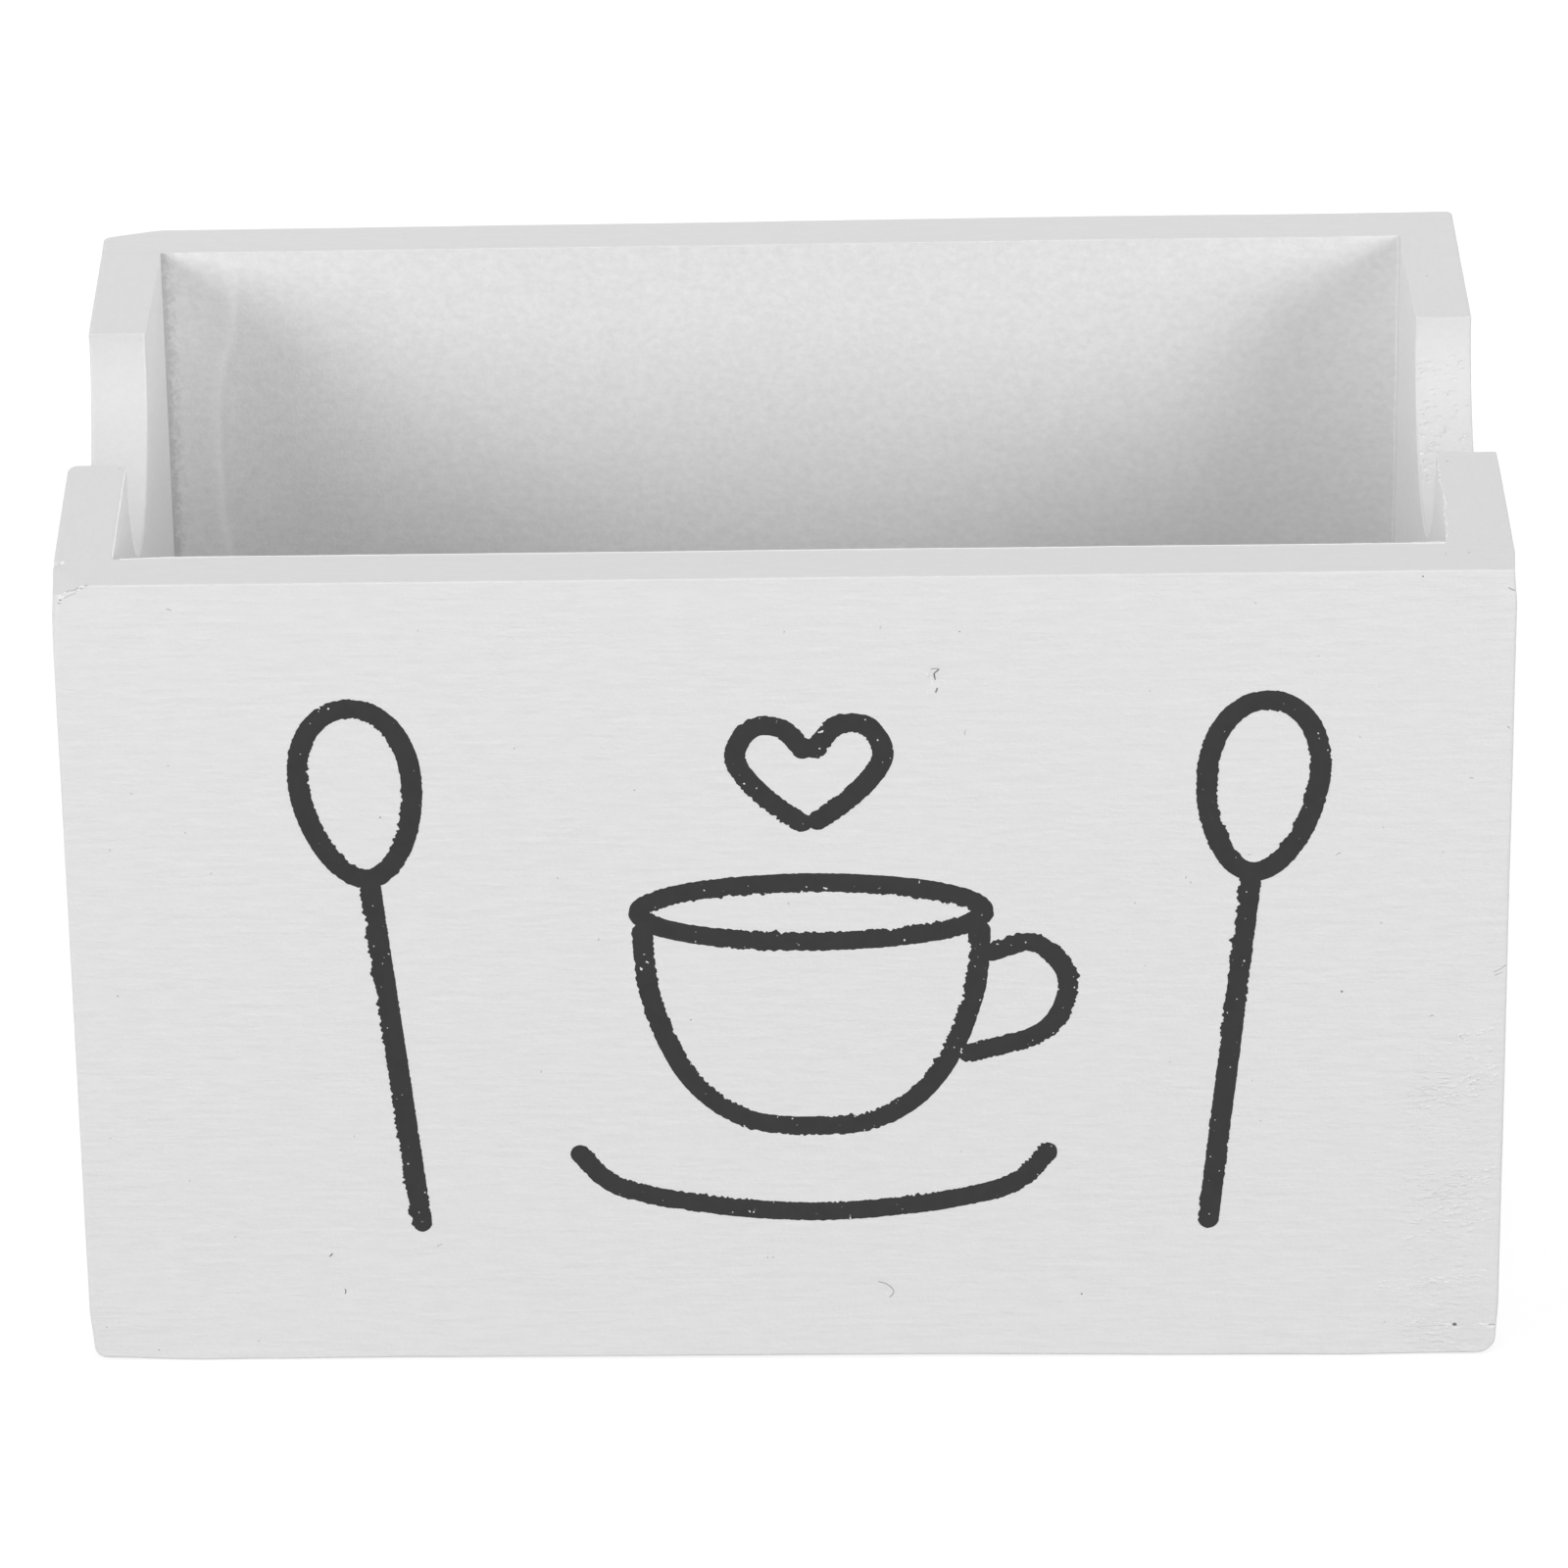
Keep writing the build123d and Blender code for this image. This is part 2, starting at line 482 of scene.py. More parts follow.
def foot_profile(points):
    """The ends and the underside of the foot as one round face, in the way of flat_face."""
    x, _, z = points.T
    radius = np.where(x < 0, *FOOT_END_RADII)
    from_end = half_width - np.abs(x)
    sideways = np.sign(x) * np.clip(radius - from_end, 0, None)
    way = np.stack([sideways, 0 * x, -np.clip(radius - z, 0, None)], 1)
    reach = np.linalg.norm(way, axis=1)
    depth = np.where(reach > 0, radius - reach, np.minimum(from_end, z))
    return depth, way / np.maximum(reach, TINY)[:, None]


def base_board():
    """Thin board under the four walls, with the rounded foot of the box."""
    xs, ys = lines(-half_width, half_width, BASE_ACROSS), lines(-half_depth, half_depth)
    points, quads = skin(grid(xs, ys, lines(0, base_top)))
    underside = flat_face(points, 2, 0, -1)
    ends = face_pair(points, 0, half_width)
    points = rounded(points, [*ends, underside], np.where(points[:, 0] < 0, *FOOT_END_RADII))
    faces = [*face_pair(points, 1, half_depth), foot_profile(points)]
    points = rounded(points, faces, sanded_radius(points))
    return eased_seam(points, 1), quads


# Where the paint differs, and where light and shade are painted, as values from 0 to 1 that the materials
# read at each point
def bare_wood_and_shade(points):
    """Bare wood with painted shade in the left inner back corner, thin paint beside it, and painted shade
    on the break at the front.
    """
    from_side = points[:, 0] + inner_width
    from_back = inner_depth - points[:, 1]
    sway = BARE_SWAY * upright_noise(points, BARE_BREAKS, BARE_SEED)
    gaps = np.clip(BARE_MIDDLE + sway, BARE_LEAST, 1)
    # the corner line: bare wood, and painted shade in the crevice between the boards
    edge = gaps * np.exp(-np.hypot(from_side, from_back) / BARE_EDGE)
    thin = BARE_THIN * np.exp(-np.abs(from_side) / BARE_SPREAD) * (np.abs(from_back) < BARE_EDGE)
    # the facet of the break at the front, which gets painted shade
    out, edge_of_break = break_plane()
    beyond = (points - edge_of_break) @ out
    break_shade = (beyond > -BREAK_SHADE_DEPTH) & (points[:, 0] < BREAK_WIDE - half_width) & (points[:, 1] < 0)
    return np.clip(edge + thin + break_shade, 0, 1)


def coat_and_painted_light(points):
    """Thicker paint from the run on the back board to its corner, and painted light on the left board and
    in the notches.
    """
    x, y, z = points.T
    past = past_run(points)
    near = np.where(past < 0, 1 + COAT_FALL * np.clip(past / COAT_SPREAD, -1, 0), 1 - past / RUN_FALL)
    on_back = COAT_ON_RUN * np.clip(near, 0, 1) * (np.abs(y - inner_depth) < BARE_EDGE)
    on_back *= below_rim(z)
    # painted light on the inner face of the left board, stronger towards the rim
    on_left = np.interp(z, LEFT_LIGHT_HEIGHTS, LEFT_PAINTED_LIGHT) * (np.abs(x + inner_width) < BARE_EDGE)
    on_left *= np.abs(y) < inner_depth
    # painted light in the foot of the notches, where they lie in shade
    in_notch = np.clip(1 - (z - top + NOTCH_RADIUS) / NOTCH_PAINTED_LIGHT, 0, 1)
    in_notch *= np.abs(x) > inner_width + BARE_EDGE
    return np.maximum(np.maximum(on_back, on_left), in_notch)


def torn(points):
    """Torn grain low down at the right end of the front, in bands."""
    x, y, z = points.T
    bands = 0.5 + TORN_SWAY * upright_noise(points, TORN_BAND, TORN_SEED)
    share = np.interp(x, TORN_X, TORN_ACROSS) * np.interp(z, TORN_Z, (1, 0)) * (y < TORN_NEAR - half_depth)
    return share * np.clip(bands, *TORN_SHARES)


# Strips that lie on a surface: brush strokes, beads, fibres and cracks
STROKE_STEP = 0.1
STROKE_SINK = 0.06
STROKE_SECTION = ((-1, None), (-0.93, 0.6), (-0.55, 1.0), (0.55, 1.0), (0.93, 0.6), (1, None))
RAGGED_SIZES = ((1.0, 0.6), (0.38, 1.0), (0.2, 0.7))  # (size, share) of the wandering of an edge
RAGGED_PATCH = 6.0  # length of the rough and the smooth stretches of an edge
RAGGED_SHARES = (0.2, 1.0)  # of the wandering, in a smooth and in a rough stretch
LEAST_TAPER = 0.01
CURVE_STEPS = 40
FEWEST_STEPS = 4


def on_front(along, up, proud):
    return np.stack([along, -half_depth - proud, up], 1)


def on_rim(along, back, proud):
    return np.stack([along, back, top + proud], 1)


def on_notch(along, up, proud):
    """The back half of a notch's wall, by the distance up its curve from the bottom."""
    turn = math.pi / 2 - up / NOTCH_RADIUS
    reach = NOTCH_RADIUS - proud
    return np.stack([along, reach * np.cos(turn), top - reach * np.sin(turn)], 1)


def smooth_path(places, closed):
    """Even steps along a smooth curve through the given places."""
    knots = np.array(places, float)
    if closed:
        knots = np.concatenate([knots[-1:], knots, knots[:2]])
    else:
        knots = np.concatenate([2 * knots[:1] - knots[1:2], knots, 2 * knots[-1:] - knots[-2:-1]])
    share = np.linspace(0, 1, CURVE_STEPS, endpoint=False)[:, None]
    curve = []
    for before, start, end, after in zip(knots, knots[1:], knots[2:], knots[3:]):
        bend = 2 * before - 5 * start + 4 * end - after
        twist = 3 * start - before - 3 * end + after
        curve.append(start + share * ((end - before) + share * (bend + share * twist)) / 2)
    curve = np.concatenate([*curve, knots[-2:-1]])
    run = np.concatenate([[0], np.cumsum(np.linalg.norm(np.diff(curve, axis=0), axis=1))])
    even = np.linspace(0, run[-1], max(FEWEST_STEPS, round(run[-1] / STROKE_STEP)) + 1)
    return np.stack([np.interp(even, run, curve[:, axis]) for axis in range(2)], 1), even


def strip(places, half, height, surface=on_front, seed=0, closed=False, ragged=(0.0, 0.0)):
    """A round-ended strip through the places, standing height proud of a surface.
    ragged is how far its two edges wander, as a share of the half width."""
    path, run = smooth_path(places, closed)
    if closed:
        path, run = path[:-1], run[:-1]
        ahead = np.roll(path, -1, 0) - np.roll(path, 1, 0)
        taper = np.ones(len(path))
    else:
        ahead = np.gradient(path, axis=0)
        from_end = np.minimum(run, run[-1] - run)
        taper = np.sqrt(np.clip(1 - np.clip(1 - from_end / half, 0, 1) ** 2, LEAST_TAPER, 1))
    ahead /= np.linalg.norm(ahead, axis=1)[:, None]
    side = np.stack([-ahead[:, 1], ahead[:, 0]], 1)
    along = np.stack([run, np.zeros(len(run)), np.zeros(len(run))], 1)
    edges = []
    for number, rough in enumerate(ragged):
        own_seed = seed + number
        wander = sum(share * noise_at(along, size, EDGE_SEED + own_seed) for size, share in RAGGED_SIZES)
        patches = np.clip(0.5 + noise_at(along, RAGGED_PATCH, PATCH_SEED + own_seed), *RAGGED_SHARES)
        edges.append(half * taper * (1 + rough * patches * wander))
    rings = []
    for across, lift in STROKE_SECTION:
        spot = path + side * (edges[0 if across < 0 else 1] * across)[:, None]
        proud = np.full(len(spot), -STROKE_SINK if lift is None else height * lift)
        rings.append(surface(spot[:, 0], spot[:, 1], proud))
    points = np.stack(rings, 1)
    index = np.arange(points.size // 3).reshape(points.shape[:2])
    beside = np.roll(index, -1, 1)
    corners = (index, beside, np.roll(beside, -1, 0), np.roll(index, -1, 0))
    quads = np.stack(corners, -1)[: None if closed else -1]
    caps = [] if closed else [index[0, ::-1].tolist(), index[-1].tolist()]
    return points.reshape(-1, 3), quads.reshape(-1, 4).tolist() + caps


def joined(parts):
    """One list of points and one of faces from several pairs of them."""
    points, faces, start = [], [], 0
    for part_points, part_faces in parts:
        points.append(part_points)
        faces += [tuple(start + corner for corner in face) for face in part_faces]
        start += len(part_points)
    return np.concatenate(points), faces


# The motif: a cup on a saucer with a heart above it, between two teaspoons
MOTIF_HALF = 1.0
MOTIF_HEIGHT = 0.04
MOTIF_HEIGHT_STEP = 0.003
MOTIF_RAGGED = (0.16, 0.32)
MOTIF_SEED_STEP = 7
CUP_RIM = ((2.0, 46.5), 15.5, 3.0)  # middle, half width and half height
CUP_BOWL = (
    (-13.3, 45.5), (-12.6, 38), (-9.5, 30), (-4.5, 25.4), (2, 24.4), (8.5, 25.4), (13.5, 30), (16.6, 38),
    (17.3, 45.5),
)
CUP_HANDLE = ((17.4, 42), (22.2, 43.2), (25.2, 39.4), (23, 34.2), (15.2, 31.6))
SAUCER = ((-20, 22.2), (-14.5, 17.6), (2, 15.4), (18.5, 17.6), (24, 22.2))
HEART_LEFT = ((2, 55), (-2.2, 58.4), (-4.6, 62), (-3.2, 65), (-0.4, 65), (2, 62.2))
HEART_RIGHT = ((2, 55.2), (6.2, 58.6), (8.6, 62.2), (7.2, 65.2), (4.4, 65.2), (2, 62.2))
SPOONS = (((-34.0, 13.5), 0.1), ((38.0, 13.5), -0.1))  # foot, and lean in radians
SPOON_HANDLE = 37.0
SPOON_BOWL = (5.0, 8.6)  # half width and half height
SPOON_NARROW = 0.16


def oval(centre, wide, high, narrow=0.0, lean=0.0, count=16):
    """Places round an egg shape. narrow draws in its foot, and lean turns it in radians."""
    turn = np.linspace(0, 2 * math.pi, count, endpoint=False)
    x = wide * np.cos(turn) * (1 + narrow * np.sin(turn))
    z = high * np.sin(turn)
    turned = (x * math.cos(lean) - z * math.sin(lean), x * math.sin(lean) + z * math.cos(lean))
    return np.stack(turned, 1) + centre


def spoon(foot, lean):
    """Strokes of a teaspoon that stands bowl up on its foot, leaning by an angle in radians."""
    way = np.array([-math.sin(lean), math.cos(lean)])
    neck = foot + way * SPOON_HANDLE
    middle = foot + way * (SPOON_HANDLE + SPOON_BOWL[1])
    return [
        (oval(middle, *SPOON_BOWL, SPOON_NARROW, lean), True),
        ([foot, foot + way * SPOON_HANDLE * 0.5, neck], False),
    ]


def motif():
    """The brush strokes on the front."""
    strokes = [(oval(*CUP_RIM), True)]
    strokes += [(places, False) for places in (CUP_BOWL, CUP_HANDLE, SAUCER, HEART_LEFT, HEART_RIGHT)]
    for foot, lean in SPOONS:
        strokes += spoon(foot, lean)
    for number, (places, closed) in enumerate(strokes):
        height = MOTIF_HEIGHT + MOTIF_HEIGHT_STEP * number
        seed = MOTIF_SEED_STEP * number
        yield strip(places, MOTIF_HALF, height, on_front, seed, closed, MOTIF_RAGGED)


# Beads of paint along the inner edges of the rim: (start, end, half width), in x and y
BEAD_HEIGHT = 0.04
BEAD_BACK = 0.03  # from the edge of the board to the middle of the bead
BEAD_RAGGED = (0.3, 0.45)
BEAD_SEED_STEP = 3
EDGE_BEADS = (
    ((0.6 - inner_width, -inner_depth - BEAD_BACK), (inner_width, -inner_depth - BEAD_BACK), 0.07),
    ((-inner_width - BEAD_BACK, 0.2 - inner_depth), (-inner_width - BEAD_BACK, 18.3 - inner_depth), 0.05),
    ((-64.5, -35.3), (-63.95, -35), 0.24),
    ((50.6, -inner_depth), (52.4, -inner_depth), 0.12),
    ((52.9, -inner_depth), (54.3, -inner_depth), 0.1),
    ((56, -inner_depth), (59.2, -inner_depth), 0.17),
)
TIP_BEADS = 30  # scattered along the inner edge of the rim in front of the right notch
TIP_BEAD_LENGTH = (0.15, 0.9)
TIP_BEAD_HALF = (0.025, 0.055)
TIP_BEAD_SCATTER = (-0.03, 0.25)
TIP_BEAD_ENDS = (1, 0.5)  # bare lengths next to the notch and to the front board

# Hairs under the paint of the front that stand out: (x, z, length, angle in degrees)
HAIRS = (
    (-54.5, 77.5, 0.5, -15), (-32.5, 12, 0.6, 25), (-49.5, 2, 0.3, 45), (-63.5, 3.5, 0.3, -75),
    (8.5, 75, 0.3, 75), (16, 64.5, 0.6, 80), (39.5, 64, 0.4, 30), (41.5, 52, 0.4, 10),
    (49.5, 52, 0.6, 30), (53.5, 45, 0.3, 15), (58.5, 35.5, 0.5, 15), (61.5, 59.5, 0.4, 0),
    (64.6, 3.13, 0.6, 0), (64.5, 64.5, 0.4, -45),
)
HAIR_HALF = 0.05
HAIR_HEIGHT = 0.02
RIM_SPECKS = (  # (x, y, half width)
    (-59.9, -15.9, 0.13), (60.2, -17.1, 0.1), (61.3, 24.6, 0.12), (59.1, -36.6, 0.08), (61.1, -36.5, 0.1),
)
BREAK_CRACKS = 12
BREAK_CRACK_LENGTH = (0.25, 0.8)
BREAK_CRACK_HALF = (0.015, 0.03)
FINE_SPECKS = 34  # scattered over the front
FINE_SPECK_LENGTH = (0.18, 0.3)
FRONT_MARGIN = 2.0

# Cracks, drawn as dark strips of painted shade: (places in x and z, half width)
CRACKS = (
    (((12.9, 70.8), (13.3, 70.86), (13.68, 70.8)), 0.035),
    (((13.7, 70.84), (13.5, 70.62), (13.22, 70.36)), 0.075),
    (((13.22, 70.42), (13.26, 70.1), (13.34, 69.65)), 0.075),
    (((13.52, 68.95), (13.44, 68.68), (13.34, 68.43)), 0.09),
    (((64.3, 78.3), (64.6, 78.1), (64.9, 77.95)), 0.035),
    (((-41.4, 6.9), (-41.3, 7.2), (-41.4, 7.5)), 0.05),
    (((-42.7, 10.9), (-42.5, 11.1), (-42.4, 11.3)), 0.06),
    (((7.7, 7.9), (8.5, 7.65), (9.15, 6.95), (9, 6.45), (8.75, 6.2)), 0.035),
    (((63.75, 39.95), (64.3, 40.25), (64.85, 40.7)), 0.02),
    (((63.85, 39.6), (64.2, 39.78), (64.6, 39.95)), 0.018),
    (((-64.3, 78.6), (-64.2, 78.63), (-64.1, 78.68)), 0.06),
    (((-63.9, 78.8), (-63.3, 79.02), (-62.6, 79.3)), 0.014),
    (((-64.45, 78.4), (-64.3, 78.3), (-64.1, 78.32)), 0.025),
)
CRACK_HEIGHT = 0.015
CRACK_RAGGED = (0.25, 0.25)

# Pits, drawn as dark spots of painted shade: (x, z, half width)
PITS = (
    (61.3, 3.17, 0.18), (56.7, 79.4, 0.09), (50, 38, 0.12), (26.5, 6.5, 0.09), (15.5, 74.5, 0.07),
    (-9, 35.5, 0.07), (-36.5, 56.5, 0.08), (-60.5, 38.5, 0.07), (-58.5, 1, 0.06),
)

# Fibres torn up at the right end of the front, in rows: (left end and right end in x and z, number)
FIBRE_ROWS = (
    ((59.3, 32.6), (63.9, 34.2), 10), ((61, 31), (64, 32), 6), ((61.4, 28.9), (64.3, 30.3), 9),
    ((57.3, 26.1), (64.3, 29), 20), ((58.1, 16.7), (64.3, 19.4), 26), ((59.5, 14.9), (63.8, 16.3), 9),
    ((56.1, 12.2), (64.2, 14.6), 18), ((53.5, 7.2), (64.2, 8.4), 38), ((56.5, 3.3), (61, 3.3), 14),
)
FIBRE_LENGTH = (0.2, 0.6)
FIBRE_HALF = 0.055
FIBRE_HEIGHT = 0.07
FIBRE_WIDTHS = (0.6, 1.3)  # shares of the half width, and below of the height
FIBRE_HEIGHTS = (0.5, 1.2)
FIBRE_SCATTER = 0.35
FIBRE_TURN = 0.3
RAISED_FIBRES = 90  # in the right notch
RAISED_UP = (5.5, 19.5)
RAISED_MARGIN = 0.4
RAISED_CROWDS = (1.4, 1.3)  # powers that crowd them towards the inside, and towards the bottom
RAISED_LENGTH = (0.25, 0.7)
RAISED_TURN = (0.3, 0.25)  # angle, and its spread
RAISED_HALF = 0.06
RAISED_WIDTHS = (0.6, 1.2)
RAISED_HEIGHT = 0.12
HIGHLIGHT_STRIP_BELOW = (0, 0.13)  # from a fibre in the notch down to the lighter strip under it: painted highlight on its lower side
NOTCH_BEAD_HEIGHT = 0.03
NOTCH_BEAD_EVERY = 9  # one fibre in this many has its painted highlight strip in bead paint, and the others a low ridge of the outside paint, also painted highlight
FLAKE_HALF = 0.05
FLAKES = (
    ((12.45, 70.5), (12.6, 70.35), (12.7, 70.1)), ((12.85, 70.15), (12.95, 69.95), (13, 69.7)),
    ((13, 69.7), (13.05, 69.4), (13.15, 69.2)), ((12.55, 68.5), (12.7, 68.3), (12.75, 68.1)),
    ((63.4, 3.3), (63.8, 3.2), (64.2, 3.15)), ((60.5, 3.1), (60.8, 3.2), (61, 3.1)),
    ((-64.45, 78.85), (-64, 78.98), (-63.6, 79.16)), ((-63.5, 79.2), (-63, 79.34), (-62.6, 79.5)),
    ((-64.3, 78.74), (-64, 78.84), (-63.75, 78.96)), ((-62.5, 79.54), (-62.25, 79.62), (-62, 79.68)),
)
BREAK_FLAKES = 12
BREAK_FLAKE_LENGTH = (0.3, 0.8)
BREAK_TURN = (0.35, 0.15)  # angle of the flakes and cracks at the break, and its spread
BREAK_RUN = (0.15, 1)  # the stretch of the break that has them
BREAK_ABOVE = (-0.45, 0.02)  # how far from its edge they lie
BREAK_NARROWING = 0.7
BREAK_SHIFT = 0.1
FIBRE_SEED = 4
DASH_BOW = 0.3


def dash(middle, length, angle):
    """Places of a short slightly bowed line."""
    half = np.array([math.cos(angle), math.sin(angle)]) * length / 2
    bow = np.array([-half[1], half[0]]) * DASH_BOW
    return np.array(middle) + [-half, bow, half]


def break_dashes(random, count, lengths):
    """Places of short lines, by chance along the torn front edge of the broken corner."""
    for _ in range(count):
        share = random.uniform(*BREAK_RUN)
        above = BREAK_HIGH * share + random.uniform(*BREAK_ABOVE) * (1 - BREAK_NARROWING * share)
        middle = (BREAK_WIDE * share - half_width + BREAK_SHIFT, top - BREAK_HIGH + above)
        yield dash(middle, random.uniform(*lengths), random.normal(*BREAK_TURN))


def notch_grain():
    """Places and half width of each raised fibre in the right notch."""
    random = np.random.default_rng(FIBRE_SEED)
    low, high = RAISED_UP
    crowd_in, crowd_down = RAISED_CROWDS
    across = half_width - inner_width - 2 * RAISED_MARGIN
    grain = []
    for _ in range(RAISED_FIBRES):
        x = inner_width + RAISED_MARGIN + across * random.uniform(0, 1) ** crowd_in
        middle = (x, low + (high - low) * random.uniform(0, 1) ** crowd_down)
        angle = random.normal(*RAISED_TURN)
        places = dash(middle, random.uniform(*RAISED_LENGTH), angle)
        grain.append((places, RAISED_HALF * random.uniform(*RAISED_WIDTHS)))
    return grain


def beads():
    for number, (start, end, half) in enumerate(EDGE_BEADS):
        places = [start, np.add(start, end) / 2, end]
        yield strip(places, half, BEAD_HEIGHT, on_rim, BEAD_SEED_STEP * number, ragged=BEAD_RAGGED)
    random = np.random.default_rng(FIBRE_SEED)
    run = (NOTCH_RADIUS + TIP_BEAD_ENDS[0], inner_depth - TIP_BEAD_ENDS[1])
    for _ in range(TIP_BEADS):
        x = inner_width + random.uniform(*TIP_BEAD_SCATTER)
        places = dash((x, -random.uniform(*run)), random.uniform(*TIP_BEAD_LENGTH), math.pi / 2)
        yield strip(places, random.uniform(*TIP_BEAD_HALF), BEAD_HEIGHT, on_rim)
    for places in FLAKES:
        yield strip(places, FLAKE_HALF, BEAD_HEIGHT)
    for places in break_dashes(random, BREAK_FLAKES, BREAK_FLAKE_LENGTH):
        yield strip(places, FLAKE_HALF, BEAD_HEIGHT)
    # a strip of bead paint under every ninth fibre in the notch: painted highlight on its lower side
    for places, half in notch_grain()[::NOTCH_BEAD_EVERY]:
        yield strip(places - HIGHLIGHT_STRIP_BELOW, half, NOTCH_BEAD_HEIGHT, on_notch)


def specks():
    for x, z, length, angle in HAIRS:
        yield strip(dash((x, z), length, math.radians(angle)), HAIR_HALF, HAIR_HEIGHT)
    for x, y, half in RIM_SPECKS:
        yield strip(dash((x, y), 2 * half, 0), half, HAIR_HEIGHT, on_rim)
    random = np.random.default_rng(FIBRE_SEED)
    # grey strips of painted shade in the cracks along the break
    for places in break_dashes(random, BREAK_CRACKS, BREAK_CRACK_LENGTH):
        yield strip(places, random.uniform(*BREAK_CRACK_HALF), HAIR_HEIGHT)
    far = half_width - FRONT_MARGIN
    for _ in range(FINE_SPECKS):
        middle = (random.uniform(-far, far), random.uniform(FRONT_MARGIN, top - FRONT_MARGIN))
        places = dash(middle, random.uniform(*FINE_SPECK_LENGTH), random.uniform(0, math.pi))
        yield strip(places, HAIR_HALF, HAIR_HEIGHT)


def cracks():
    pits = [(dash((x, z), 2 * half, 0), half) for x, z, half in PITS]
    for places, half in [*CRACKS, *pits]:
        yield strip(places, half, CRACK_HEIGHT, ragged=CRACK_RAGGED)


def fibres():
    """Torn fibres on the front, and the raised grain in the right notch."""
    random = np.random.default_rng(FIBRE_SEED)
    for first, last, count in FIBRE_ROWS:
        row = np.subtract(last, first)
        rise = math.atan2(row[1], row[0])
        for _ in range(count):
            middle = first + row * random.uniform(0, 1)
            middle[1] += random.normal(0, FIBRE_SCATTER)
            places = dash(middle, random.uniform(*FIBRE_LENGTH), random.normal(rise, FIBRE_TURN))
            half = FIBRE_HALF * random.uniform(*FIBRE_WIDTHS)
            yield strip(places, half, FIBRE_HEIGHT * random.uniform(*FIBRE_HEIGHTS))
    for number, (places, half) in enumerate(notch_grain()):
        yield strip(places, half, RAISED_HEIGHT, on_notch)
        # a lighter low ridge under the other fibres: painted highlight on their lower side
        if number % NOTCH_BEAD_EVERY:
            yield strip(places - HIGHLIGHT_STRIP_BELOW, half, NOTCH_BEAD_HEIGHT, on_notch)


# Materials
PAINT = 0.8
# lighter than the paint: painted highlight on the beads, flakes and fibres in this paint
BEAD_HIGHLIGHT_WHITES = (0.92, 0.94)
# a little darker than the outside paint: painted shade on the inner faces of the front, back and base
INSIDE_SHADED_WHITE = 0.79
NOTCH_SHADED_WHITES = (0.74, 0.76)  # left and right: darker than the paint elsewhere, as painted shade on the notch walls that face the lamps
PAINT_ROUGHNESS = (0.6, 0.72)
PAINT_SPECULAR = 0.35
# lighter paint where it is thick, and painted light on the left board and in the notches
THICK_COAT_AND_PAINTED_LIGHT = 0.06
# darkening of the speckles by the left inner back corner: bare wood and painted shade in its crevice
BARE_AND_SHADE_DARK = 0.78
# painted shade on the break at the front's top left corner, whose facet faces the lamps more than the rim
BREAK_PAINTED_SHADE = 0.955
INK = 0.024
INK_ROUGHNESS = (0.55, 0.72)
INK_HOLES = (0.75, 0.78)  # noise at which a pinhole begins, and is white
INK_BUMP = 0.05
SPECK_GREY = (0.42, 0.62)
# dark greys of the painted shade in cracks and pits
CRACK_SHADE_GREY = (0.12, 0.3)
STEEL_GREY = (0.5, 0.6)
BEAD_ROUGHNESS, SPECK_ROUGHNESS, CRACK_ROUGHNESS, STEEL_ROUGHNESS = 0.4, 0.6, 0.8, 0.35

# Paint: (mottling, depth of the grain, depth of the stipple)
OUTSIDE_PAINT = (0.024, 0.072, 0.039)
BACK_INSIDE_PAINT = (0.056, 0.045, 0.055)
SIDE_INSIDE_PAINT = (0.05, 0.045, 0.055)
NOTCH_PAINT = (0.02, 0.06, 0.05)

# Noise in the materials: (scale, detail, roughness), and the share to which it is drawn out
NOISE_RANGE = (0.3, 0.7)
GRAIN_NOISE, GRAIN_DRAWN = (1500.0, 4.0, 0.6), 0.13
OUTSIDE_PATCHES, OUTSIDE_DRAWN = (1100.0, 5.0, 0.72), 0.3
INSIDE_PATCHES, INSIDE_DRAWN = (1500.0, 5.0, 0.72), 0.75
FLECK_NOISE, FLECK_DRAWN = (3200.0, 3.0, 0.55), 0.42
STIPPLE_NOISE = (2800.0, 3.0, 0.6)
BARE_NOISE = (2500.0, 3.0, 0.6)
HOLE_NOISE = (2300.0, 1.0, 0.55)
INK_NOISE = (500.0, 3.0, 0.55)
MARK_NOISE = (900.0, 2.0, 0.55)
BARE_RAMP = ((0.19, 0.0), (0.4, 1.0))
FLECK_RAMP = ((0.5, 0.0), (0.68, 1.0))


def feed(tree, node, inputs):
    """Give each named input of a node its value, or link another node's output to it."""
    for key, value in inputs.items():
        if isinstance(value, bpy.types.NodeSocket):
            tree.links.new(value, node.inputs[key])
        else:
            node.inputs[key].default_value = value


def add(tree, kind, inputs=None, **settings):
    """A new node with its settings and inputs."""
    node = tree.nodes.new("ShaderNode" + kind)
    for name, value in settings.items():
        setattr(node, name, value)
    feed(tree, node, inputs or {})
    return node


def new_material(name):
    """A material, its node tree, its shader, and the place that its textures follow."""
    material = bpy.data.materials.new(name)
    material.use_nodes = True
    tree = material.node_tree
    place = add(tree, "TexCoord").outputs["Object"]
    return material, tree, tree.nodes["Principled BSDF"], place


def grey(value):
    return (value, value, value, 1.0)


def stretched(tree, place, axis, share):
    """The place drawn out along one axis."""
    scale = [1.0, 1.0, 1.0]
    scale[axis] = share
    return add(tree, "Mapping", {"Vector": place, "Scale": scale}).outputs["Vector"]


def clouds(tree, place, scale, detail, rough):
    """Noise over a surface, from about 0.3 to 0.7."""
    inputs = {"Vector": place, "Scale": scale, "Detail": detail, "Roughness": rough}
    return add(tree, "TexNoise", inputs).outputs["Fac"]


